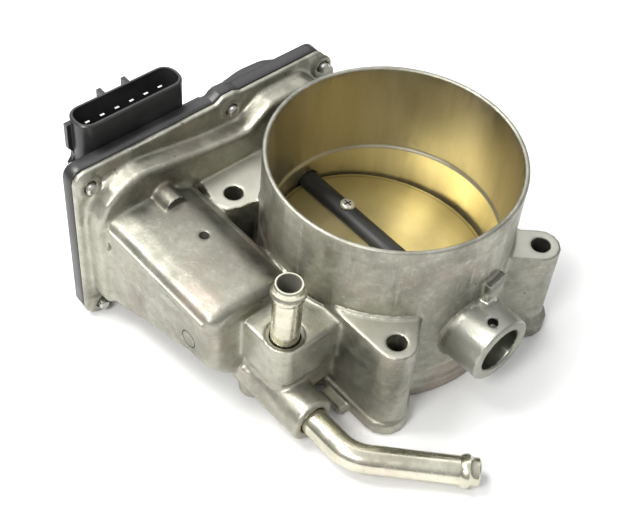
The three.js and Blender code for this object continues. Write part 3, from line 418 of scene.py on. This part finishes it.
def dark_shaft():
    s = Surface("dark_shaft_steel", metallic=0.3)
    grain = s.noise(400.0, 4.0, 0.6, vector=s.scaled((0.15, 1.0, 1.0)))
    rub = s.edges(0.5 * MM)
    colour = s.mix(s.grade(grain, 0.35, 0.7), (0.012, 0.012, 0.012), (0.030, 0.030, 0.029))
    colour = s.mix(s.maths("MULTIPLY", rub, 0.35), colour, (0.25, 0.25, 0.24))
    normal = s.bump(grain, 0.2, 0.05 * MM)
    return s.finish(colour, s.grade(grain, 0.3, 0.7, 0.42, 0.56), normal)


def steel(name, low, high, roughness, tint=None, dull_bore=None):
    """Plated or plain steel; dull_bore is the axis and radius of an upright hole left matt and darker."""
    s = Surface(name, metallic=1.0)
    clouds = s.noise(90.0, 5.0, 0.6)
    fine = s.noise(1800.0, 3.0, 0.6)
    colour = s.mix(s.grade(clouds, 0.35, 0.68), low, high)
    if tint:
        colour = s.mix(s.grade(s.noise(48.0, 4.0, 0.6), 0.48, 0.72, 0.0, 0.45), colour, tint)
    worn = s.maths("MULTIPLY", s.edges(0.35 * MM), 0.5)
    colour = s.mix(worn, colour, (0.80, 0.79, 0.76))
    rough = s.grade(s.noise(300.0, 4.0, 0.6), 0.3, 0.7, roughness - 0.05, roughness + 0.08)
    if dull_bore:
        axis, radius = dull_bore
        x, y, _ = s.axes()
        inside = s.maths("LESS_THAN", s.distance(x, y, axis), radius)
        colour = s.mix(inside, colour, (0.25, 0.245, 0.205))
        rough = s.blend(inside, rough, 0.6)
        s.put(s.shader.inputs["Metallic"], s.blend(inside, 1.0, 0.5))
    normal = s.bump(fine, 0.12, 0.03 * MM)
    normal = s.bump(clouds, 0.12, 0.25 * MM, normal)
    return s.finish(colour, rough, normal)


def screw_steel():
    """Satin steel of the plate screws, with painted shade inside the cross recess."""
    s = Surface("screw_steel", metallic=0.9)
    x, y, z = s.axes()
    from_y = s.maths("SUBTRACT", y, BORE_Y)
    from_z = s.maths("SUBTRACT", z, SHAFT_Z)
    cosine = math.cos(PLATE_TILT)
    sine = math.sin(PLATE_TILT)
    height = s.maths("ADD", s.maths("MULTIPLY", from_y, sine), s.maths("MULTIPLY", from_z, cosine))
    across = s.maths("SUBTRACT", s.maths("MULTIPLY", from_y, cosine), s.maths("MULTIPLY", from_z, sine))
    along = s.maths("SUBTRACT", s.maths("ABSOLUTE", x), PLATE_SCREW_X)
    away = s.length(along, across)
    # painted shade: the cross recess is painted near black
    low = s.maths("LESS_THAN", height, RECESS_TOP)
    recess = s.maths("MULTIPLY", s.maths("LESS_THAN", away, RECESS_R), low)
    clouds = s.noise(900.0, 4.0, 0.6)
    colour = s.mix(s.grade(clouds, 0.35, 0.68), (0.60, 0.59, 0.52), (0.74, 0.73, 0.66))
    colour = s.mix(s.maths("MULTIPLY", s.edges(0.2 * MM), 0.4), colour, (0.82, 0.81, 0.76))
    colour = s.mix(recess, colour, (0.035, 0.033, 0.028))
    rough = s.blend(recess, s.grade(clouds, 0.3, 0.7, 0.40, 0.50), 0.8)
    return s.finish(colour, rough, s.bump(clouds, 0.15, 0.03 * MM))


def plastic(name, low, high, roughness, grain=0.35):
    s = Surface(name)
    s.shader.inputs["IOR"].default_value = 1.5
    clouds = s.noise(60.0, 4.0, 0.6)
    fine = s.noise(1500.0, 4.0, 0.65)
    colour = s.mix(s.grade(clouds, 0.35, 0.7), low, high)
    scuffs = s.grade(s.noise(700.0, 5.0, 0.7, vector=s.scaled((1.0, 0.3, 0.6))), 0.66, 0.80, 0.0, 0.5)
    lighter = tuple(0.5 * value + 0.06 for value in high)
    colour = s.mix(scuffs, colour, lighter)
    worn = s.maths("MULTIPLY", s.edges(0.4 * MM), 0.8)
    colour = s.mix(worn, colour, tuple(value * 1.6 + 0.06 for value in high))
    rough = s.grade(clouds, 0.3, 0.7, roughness - 0.06, roughness + 0.08)
    normal = s.bump(fine, grain, 0.05 * MM, s.rounded(0.25 * MM))
    return s.finish(colour, rough, normal)


# ---------------------------------------------------------------- cast skin of the housing

MOTOR_AXIS = (BORE_Y - 59.98 * MM, FACE_Z + 26.97 * MM)
MOTOR_CAVITY_R = 16.5 * MM
CASE_MIDDLE = (BORE_Y - 30.0 * MM, FACE_Z + 27.0 * MM)
BOLTS = [(sx * 40.8 * MM, BORE_Y + sy * 33.6 * MM) for sx in (-1, 1) for sy in (-1, 1)]
STRAIGHT_PIPE = (15.4 * MM, BORE_Y - 57.8 * MM)
STRAIGHT_PIPE_KEEP_R = 7.3 * MM
BUMP_Y = BORE_Y - 55.6 * MM
TAB_Y = BORE_Y + 5.9 * MM
PARTING_Z = FACE_Z + 40.95 * MM
VOXEL = 0.52 * MM
SKIN_FACES = 190_000
SKIN_SHARP = math.radians(38)


def read_points(mesh):
    points = np.empty(len(mesh.vertices) * 3)
    mesh.vertices.foreach_get("co", points)
    return points.reshape(-1, 3)


def voxel_copy(name):
    """A fine, even mesh of the same shape as a CAD node."""
    mesh = nodes[name].data.copy()
    shape = bmesh.new()
    shape.from_mesh(mesh)
    bmesh.ops.remove_doubles(shape, verts=shape.verts, dist=WELD)
    shape.to_mesh(mesh)
    shape.free()
    source = bpy.data.objects.new(name + "_source", mesh)
    bpy.context.scene.collection.objects.link(source)
    remesh = source.modifiers.new("voxels", "REMESH")
    remesh.mode = "VOXEL"
    remesh.voxel_size = VOXEL
    graph = bpy.context.evaluated_depsgraph_get()
    fine = bpy.data.meshes.new_from_object(source.evaluated_get(graph), depsgraph=graph)
    bpy.data.objects.remove(source)
    return fine


class Skin:
    """Points of a mesh, moved by averaging with their neighbours."""

    def __init__(self, mesh):
        self.points = read_points(mesh)
        edges = np.empty(len(mesh.edges) * 2, np.int64)
        mesh.edges.foreach_get("vertices", edges)
        self.first, self.second = edges.reshape(-1, 2).T
        corners = np.empty(len(mesh.loops), np.int64)
        mesh.loops.foreach_get("vertex_index", corners)
        self.faces = corners.reshape(-1, 4)
        self.count = np.bincount(np.concatenate((self.first, self.second)), minlength=len(self.points))

    def gathered(self, where, values):
        return np.bincount(where, values, minlength=len(self.points))

    def towards_neighbours(self):
        moved = np.empty_like(self.points)
        for k in range(3):
            axis = self.points[:, k]
            total = self.gathered(self.first, axis[self.second])
            total += self.gathered(self.second, axis[self.first])
            moved[:, k] = total / self.count - axis
        return moved

    def normals(self):
        a, b, c, d = (self.points[self.faces[:, k]] for k in range(4))
        across = np.cross(c - a, d - b)
        out = np.zeros_like(self.points)
        for k in range(3):
            for corner in range(4):
                out[:, k] += self.gathered(self.faces[:, corner], across[:, k])
        return out / np.maximum(np.linalg.norm(out, axis=1, keepdims=True), 1e-30)

    def soften(self, weight, rounds):
        for _ in range(rounds):
            self.points += 0.5 * weight[:, None] * self.towards_neighbours()

    def fill_corners(self, weight, rounds):
        for step in range(rounds):
            if step % 6 == 0:
                normals = self.normals()
            outward = np.einsum("ij,ij->i", self.towards_neighbours(), normals)
            self.points += (0.5 * weight * np.maximum(outward, 0.0))[:, None] * normals

    def round_about(self, centre, axes, radius, tolerance, where, facing=1):
        """Sets points near a cylinder or cone on it; facing is 1 for outer faces and -1 for inner ones."""
        i, j = axes
        offset = self.points[:, [i, j]] - np.array(centre)
        distance = np.maximum(np.linalg.norm(offset, axis=1), 1e-9)
        radial = np.einsum("ij,ij->i", self.normals()[:, [i, j]], offset) / distance
        near = (np.abs(distance - radius) < tolerance) & (facing * radial > 0.9) & where
        share = np.where(near, radius / distance, 1.0)
        self.points[:, [i, j]] = np.array(centre) + offset * share[:, None]


def keep_lugs(weight, x, y, z, bore):
    """Keeps the bolt holes and the undersides of the lugs, and softens their tops only a little."""
    for bolt in BOLTS:
        away = np.hypot(x - bolt[0], y - bolt[1])
        near = away < 20 * MM
        top = near & (np.abs(z - LUG_TOP_Z) < 0.8 * MM) & (bore > 44.0 * MM)
        weight[away < BOLT_HOLE_R + 0.8 * MM] = 0.0
        weight[top] = np.minimum(weight[top], 0.12)
        weight[near & (z < FACE_Z + 0.7 * MM)] = 0.0


def keep_boss(weight, x, y, z):
    """Keeps the boss's bore and vent, and softens its end only a little."""
    from_shaft = np.hypot(y - BORE_Y, z - SHAFT_Z)
    vent = (np.hypot(x - VENT_X, y - BORE_Y) < 2.3 * MM) & (z > SHAFT_Z)
    weight[(x > BOSS_START_X) & (from_shaft < 9.6 * MM)] = 0.0
    weight[x > BOSS_END_X - 0.8 * MM] = 0.1
    weight[vent] = 0.0


def keep_small_features(weight, x, y, z, bore):
    """Lowers the weight where softening would wash a small feature out."""
    tab = (x > 41.5 * MM) & (x < 49 * MM) & (np.abs(y - TAB_Y) < 6.5 * MM) & (z > 45.2 * MM)
    bump = (x < -42.5 * MM) & (np.abs(y - BUMP_Y) < 5.6 * MM) & (z > 52.3 * MM)
    parting_ridge = (y < MOTOR_SIDE_Y + 0.9 * MM) & (np.abs(z - PARTING_Z) < 2.0 * MM)
    foot_ring = (bore < INLET_OUTER_R + 3.4 * MM) & (z < FACE_Z + 7.5 * MM)
    block_foot = (y < BORE_Y - 38.5 * MM) & (x > 5 * MM) & (z < FACE_Z + 7.0 * MM)
    block_tab = (x > 20 * MM) & (x < 34 * MM) & (y < BORE_Y - 38 * MM) & (z < FACE_Z + 5.0 * MM)
    shares = [(tab, 0.03), (bump, 0.12), (parting_ridge, 0.06)]
    shares += [(foot_ring, 0.3), (block_foot, 0.25), (block_tab, 0.05)]
    for bolt in BOLTS:
        lug_foot = (np.hypot(x - bolt[0], y - bolt[1]) < 11 * MM) & (z < FACE_Z + 7.0 * MM)
        shares.append((lug_foot, 0.3))
    for where, share in shares:
        weight[where] = np.minimum(weight[where], share)


def closed_spaces(skin):
    """Picks the points inside the motor housing and on the inner walls of the gear case."""
    x, y, z = skin.points.T
    normals = skin.normals()
    in_motor = (np.hypot(y - MOTOR_AXIS[0], z - MOTOR_AXIS[1]) < MOTOR_CAVITY_R) & (x < -0.5 * MM)
    inward = normals[:, 1] * (CASE_MIDDLE[0] - y) + normals[:, 2] * (CASE_MIDDLE[1] - z)
    in_case = (x < -54.0 * MM) & ((inward > 0) | (normals[:, 0] < -0.7))
    return in_motor | in_case


def cast_weights(skin):
    """1 on the bare casting, less on small features, 0 on machined faces and in closed spaces."""
    x, y, z = skin.points.T
    bore = np.hypot(x, y - BORE_Y)
    from_pipe = np.hypot(x - STRAIGHT_PIPE[0], y - STRAIGHT_PIPE[1])
    weight = np.ones(len(x))
    weight[(bore < COATED_R + 0.4 * MM) | (z > RIM_Z - 1.6 * MM) | (z < 0.5 * MM)] = 0.0
    keep_lugs(weight, x, y, z, bore)
    keep_boss(weight, x, y, z)
    weight[from_pipe < STRAIGHT_PIPE_KEEP_R] = 0.0
    weight[x < SEAM_X + 0.7 * MM] = 0.0
    keep_small_features(weight, x, y, z, bore)
    weight[closed_spaces(skin)] = 0.0
    return weight


def round_faces(skin):
    """Sets the points of turned and drilled faces on their true cylinders and cones."""
    x = skin.points[:, 0]
    z = skin.points[:, 2]
    everywhere = np.ones(len(z), bool)
    above = (z > STEP_Z + 0.3 * MM) & (z < RIM_Z - 0.6 * MM)
    below = (z < STEP_Z - 1.1 * MM) & (z > FACE_Z + 0.5 * MM)
    cone = INLET_FOOT_R + (INLET_R - INLET_FOOT_R) * np.clip((z - STEP_Z) / (RIM_Z - STEP_Z), 0, 1)
    axis = (0.0, BORE_Y)
    skin.round_about(axis, (0, 1), cone, 0.3 * MM, above, facing=-1)
    skin.round_about(axis, (0, 1), BORE_R, 0.3 * MM, below, facing=-1)
    skin.round_about(axis, (0, 1), INLET_OUTER_R, 0.3 * MM, everywhere)
    for bolt in BOLTS:
        skin.round_about(bolt, (0, 1), BOLT_HOLE_R, 0.3 * MM, everywhere, facing=-1)
    boss = BOSS_R - 0.3 * MM * np.clip((x / MM - 46) / 11, 0, 1)
    axis = (BORE_Y, SHAFT_Z)
    skin.round_about(axis, (1, 2), boss, 0.35 * MM, x > 44 * MM)
    skin.round_about(axis, (1, 2), BOSS_BORE_R, 0.3 * MM, x > 48 * MM, facing=-1)


def housing_skin():
    """The casting with softened corners and true round faces, in place of the CAD node."""
    mesh = voxel_copy("throttle_housing")
    skin = Skin(mesh)
    weight = cast_weights(skin)
    skin.soften(weight, 3)
    skin.fill_corners(weight, 20)
    skin.soften(weight, 2)
    round_faces(skin)
    mesh.vertices.foreach_set("co", skin.points.ravel())
    mesh.update()
    mesh.shade_smooth()
    casting = bpy.data.objects.new("cast_housing", mesh)
    bpy.context.scene.collection.objects.link(casting)
    thin = casting.modifiers.new("thin", "DECIMATE")
    thin.ratio = SKIN_FACES / (2 * len(mesh.polygons))
    graph = bpy.context.evaluated_depsgraph_get()
    casting.data = bpy.data.meshes.new_from_object(casting.evaluated_get(graph), depsgraph=graph)
    casting.modifiers.clear()
    casting.data.set_sharp_from_angle(angle=SKIN_SHARP)
    casting.data.materials.clear()
    casting.data.materials.append(aluminium)
    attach(casting, "body")
    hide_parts("throttle_housing")


# ---------------------------------------------------------------- heads of the plate screws

PLATE_UP = Vector((0.0, math.sin(PLATE_TILT), math.cos(PLATE_TILT)))
HEAD_CUT = 0.45 * MM     # taken off the crown of each head
HEAD_BLOCK = 8.0 * MM    # size of the cutting block, larger than a head
HEAD_SHARP = math.radians(30)


def cutting_block(foot):
    """A block that stands on the plane through foot, square to the plate."""
    shape = bmesh.new()
    bmesh.ops.create_cube(shape, size=HEAD_BLOCK)
    turn = PLATE_UP.to_track_quat("Z", "X").to_matrix().to_4x4()
    place = Matrix.Translation(foot + PLATE_UP * HEAD_BLOCK / 2) @ turn
    bmesh.ops.transform(shape, matrix=place, verts=shape.verts)
    mesh = bpy.data.meshes.new("block")
    shape.to_mesh(mesh)
    shape.free()
    block = bpy.data.objects.new("block", mesh)
    bpy.context.scene.collection.objects.link(block)
    return block


def flat_headed_screw(number, material):
    """The CAD screw with its cross recess and a flatter crown."""
    name = f"plate_screw_{number}"
    mesh = nodes[name].data.copy()
    points = read_points(mesh)
    heights = points @ np.array(PLATE_UP)
    crown = Vector(points[heights.argmax()])
    screw = bpy.data.objects.new(f"flat_head_{number}", mesh)
    bpy.context.scene.collection.objects.link(screw)
    block = cutting_block(crown - PLATE_UP * HEAD_CUT)
    cut = screw.modifiers.new("cut", "BOOLEAN")
    cut.operation = "DIFFERENCE"
    cut.object = block
    graph = bpy.context.evaluated_depsgraph_get()
    screw.data = bpy.data.meshes.new_from_object(screw.evaluated_get(graph), depsgraph=graph)
    screw.modifiers.clear()
    bpy.data.objects.remove(block)
    screw.data.shade_smooth()
    screw.data.set_sharp_from_angle(angle=HEAD_SHARP)
    screw.data.materials.clear()
    screw.data.materials.append(material)
    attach(screw, "throttle")
    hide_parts(name)


# ---------------------------------------------------------------- carried-over nodes

NODE_SHARP = math.radians(28)


def smoothing_group():
    """Welds a CAD mesh and shades it smooth, except across edges sharper than an angle."""
    group = bpy.data.node_groups.new("smooth_by_edge_angle", "GeometryNodeTree")
    group.interface.new_socket("Geometry", in_out="INPUT", socket_type="NodeSocketGeometry")
    group.interface.new_socket("Geometry", in_out="OUTPUT", socket_type="NodeSocketGeometry")
    make = group.nodes.new
    start = make("NodeGroupInput")
    end = make("NodeGroupOutput")
    weld = make("GeometryNodeMergeByDistance")
    weld.inputs["Distance"].default_value = WELD
    angle = make("GeometryNodeInputMeshEdgeAngle")
    sharp = make("FunctionNodeCompare")
    sharp.data_type = "FLOAT"
    sharp.operation = "LESS_EQUAL"
    sharp.inputs["B"].default_value = NODE_SHARP
    faces = make("GeometryNodeSetShadeSmooth")
    faces.domain = "FACE"
    edges = make("GeometryNodeSetShadeSmooth")
    edges.domain = "EDGE"
    join = group.links.new
    join(start.outputs[0], weld.inputs["Geometry"])
    join(weld.outputs[0], faces.inputs["Geometry"])
    join(faces.outputs[0], edges.inputs["Geometry"])
    join(angle.outputs["Unsigned Angle"], sharp.inputs["A"])
    join(sharp.outputs["Result"], edges.inputs["Shade Smooth"])
    join(edges.outputs[0], end.inputs[0])
    return group


def paint(material, *names):
    for name in names:
        data = nodes[name].data
        if not nodes[name].material_slots:
            data.materials.append(material)
        for slot in nodes[name].material_slots:
            slot.link = "OBJECT"
            slot.material = material


make_camera()

smooth = smoothing_group()
for node in nodes.values():
    modifier = node.modifiers.new("smooth", "NODES")
    modifier.node_group = smooth

aluminium = cast_aluminium()
bright = steel("bright_steel", (0.46, 0.455, 0.42), (0.62, 0.615, 0.57), 0.30)
zinc = steel("zinc_steel", (0.52, 0.505, 0.40), (0.72, 0.70, 0.57), 0.22,
             tint=(0.66, 0.54, 0.48), dull_bore=(STRAIGHT_PIPE, 4.05 * MM))
tin = steel("tinned_contacts", (0.66, 0.65, 0.62), (0.78, 0.77, 0.74), 0.20)
ferrite = steel("ferrite", (0.035, 0.035, 0.036), (0.07, 0.07, 0.072), 0.55)
copper = steel("wound_copper", (0.36, 0.16, 0.07), (0.60, 0.30, 0.15), 0.32)
black = plastic("black_plastic", (0.014, 0.014, 0.015), (0.030, 0.030, 0.031), 0.34)
nylon = plastic("gear_plastic", (0.62, 0.58, 0.47), (0.74, 0.70, 0.60), 0.45, grain=0.15)
rubber = plastic("rubber", (0.008, 0.008, 0.008), (0.018, 0.018, 0.018), 0.72, grain=0.5)

paint(aluminium, "throttle_housing")
paint(coated_plate(), "throttle_plate")
paint(dark_shaft(), "throttle_shaft")
paint(bright, "plate_screw_1", "plate_screw_2", "gear_side_bearing", "end_side_bearing", "end_plug")
paint(bright, "intermediate_pin", "motor_pinion", "return_spring", "motor_screw_1", "motor_screw_2")
paint(bright, *[f"cover_screw_{k}" for k in range(1, 7)])
paint(zinc, "straight_coolant_pipe", "bent_coolant_pipe", "motor_can", "motor_end_plate")
paint(black, "gear_cover", "position_sensor")
paint(nylon, "sector_gear", "intermediate_gear")
paint(rubber, "gear_side_seal", "cover_gasket")
paint(ferrite, "sensor_magnet", "motor_magnet_1", "motor_magnet_2")
paint(copper, "motor_armature")
paint(tin, "motor_blade_1", "motor_blade_2", *[f"connector_pin_{k}" for k in range(1, 7)])

housing_skin()
screw_material = screw_steel()
for number in (1, 2):
    flat_headed_screw(number, screw_material)

# ---------------------------------------------------------------- floor and light

# The part rests on the lower edge of its gear case flange and on the foot at the other end.
REST_EDGE_X = -60.0 * MM
FOOT_EDGE_X = 48.7 * MM
FLOOR_SLOPE = math.atan2(FACE_Z, FOOT_EDGE_X - REST_EDGE_X)
FLOOR_SIDE = 6.0
LAMP_AIM = Vector((0.0, 0.0, 0.04))
LAMP_WHITE = (1.0, 0.99, 0.96)


def pale_floor():
    bpy.ops.mesh.primitive_plane_add(size=FLOOR_SIDE)
    floor = bpy.context.object
    floor.name = "floor"
    floor.rotation_euler = (0.0, -FLOOR_SLOPE, 0.0)
    floor.location = (0.0, 0.0, -REST_EDGE_X * math.tan(FLOOR_SLOPE))
    s = Surface("pale_floor")
    clouds = s.noise(3.0, 3.0, 0.5)
    colour = s.mix(clouds, (0.84, 0.84, 0.84), (0.87, 0.87, 0.87))
    floor.data.materials.append(s.finish(colour, 0.9, s.bump(s.noise(400.0), 0.03, 0.1 * MM)))


def area_light(name, at, side, watts):
    """A square lamp turned towards the middle of the part."""
    data = bpy.data.lights.new(name, "AREA")
    data.shape = "SQUARE"
    data.size = side
    data.energy = watts
    data.color = LAMP_WHITE
    lamp = bpy.data.objects.new(name, data)
    bpy.context.scene.collection.objects.link(lamp)
    lamp.location = at
    lamp.rotation_euler = (LAMP_AIM - Vector(at)).to_track_quat("-Z", "Y").to_euler()


def studio():
    world = bpy.data.worlds.new("studio")
    bpy.context.scene.world = world
    world.use_nodes = True
    tree = world.node_tree
    background = tree.nodes["Background"]
    direction = tree.nodes.new("ShaderNodeTexCoord").outputs["Generated"]
    split = tree.nodes.new("ShaderNodeSeparateXYZ")
    tree.links.new(direction, split.inputs[0])
    ramp = tree.nodes.new("ShaderNodeValToRGB")
    ramp.color_ramp.elements[0].position = 0.0
    ramp.color_ramp.elements[0].color = (0.22, 0.22, 0.215, 1)
    ramp.color_ramp.elements[1].position = 0.9
    ramp.color_ramp.elements[1].color = (0.95, 0.96, 0.98, 1)
    tree.links.new(split.outputs["Z"], ramp.inputs[0])
    tree.links.new(ramp.outputs[0], background.inputs["Color"])
    background.inputs["Strength"].default_value = 0.95
    area_light("key", (-0.34, -0.28, 0.78), 0.32, 5.6)
    area_light("front", (0.14, -0.62, 0.70), 0.28, 4.6)
    area_light("back", (-0.56, 0.27, 0.68), 0.90, 3.0)


pale_floor()
studio()
bpy.context.scene.view_settings.view_transform = "Standard"
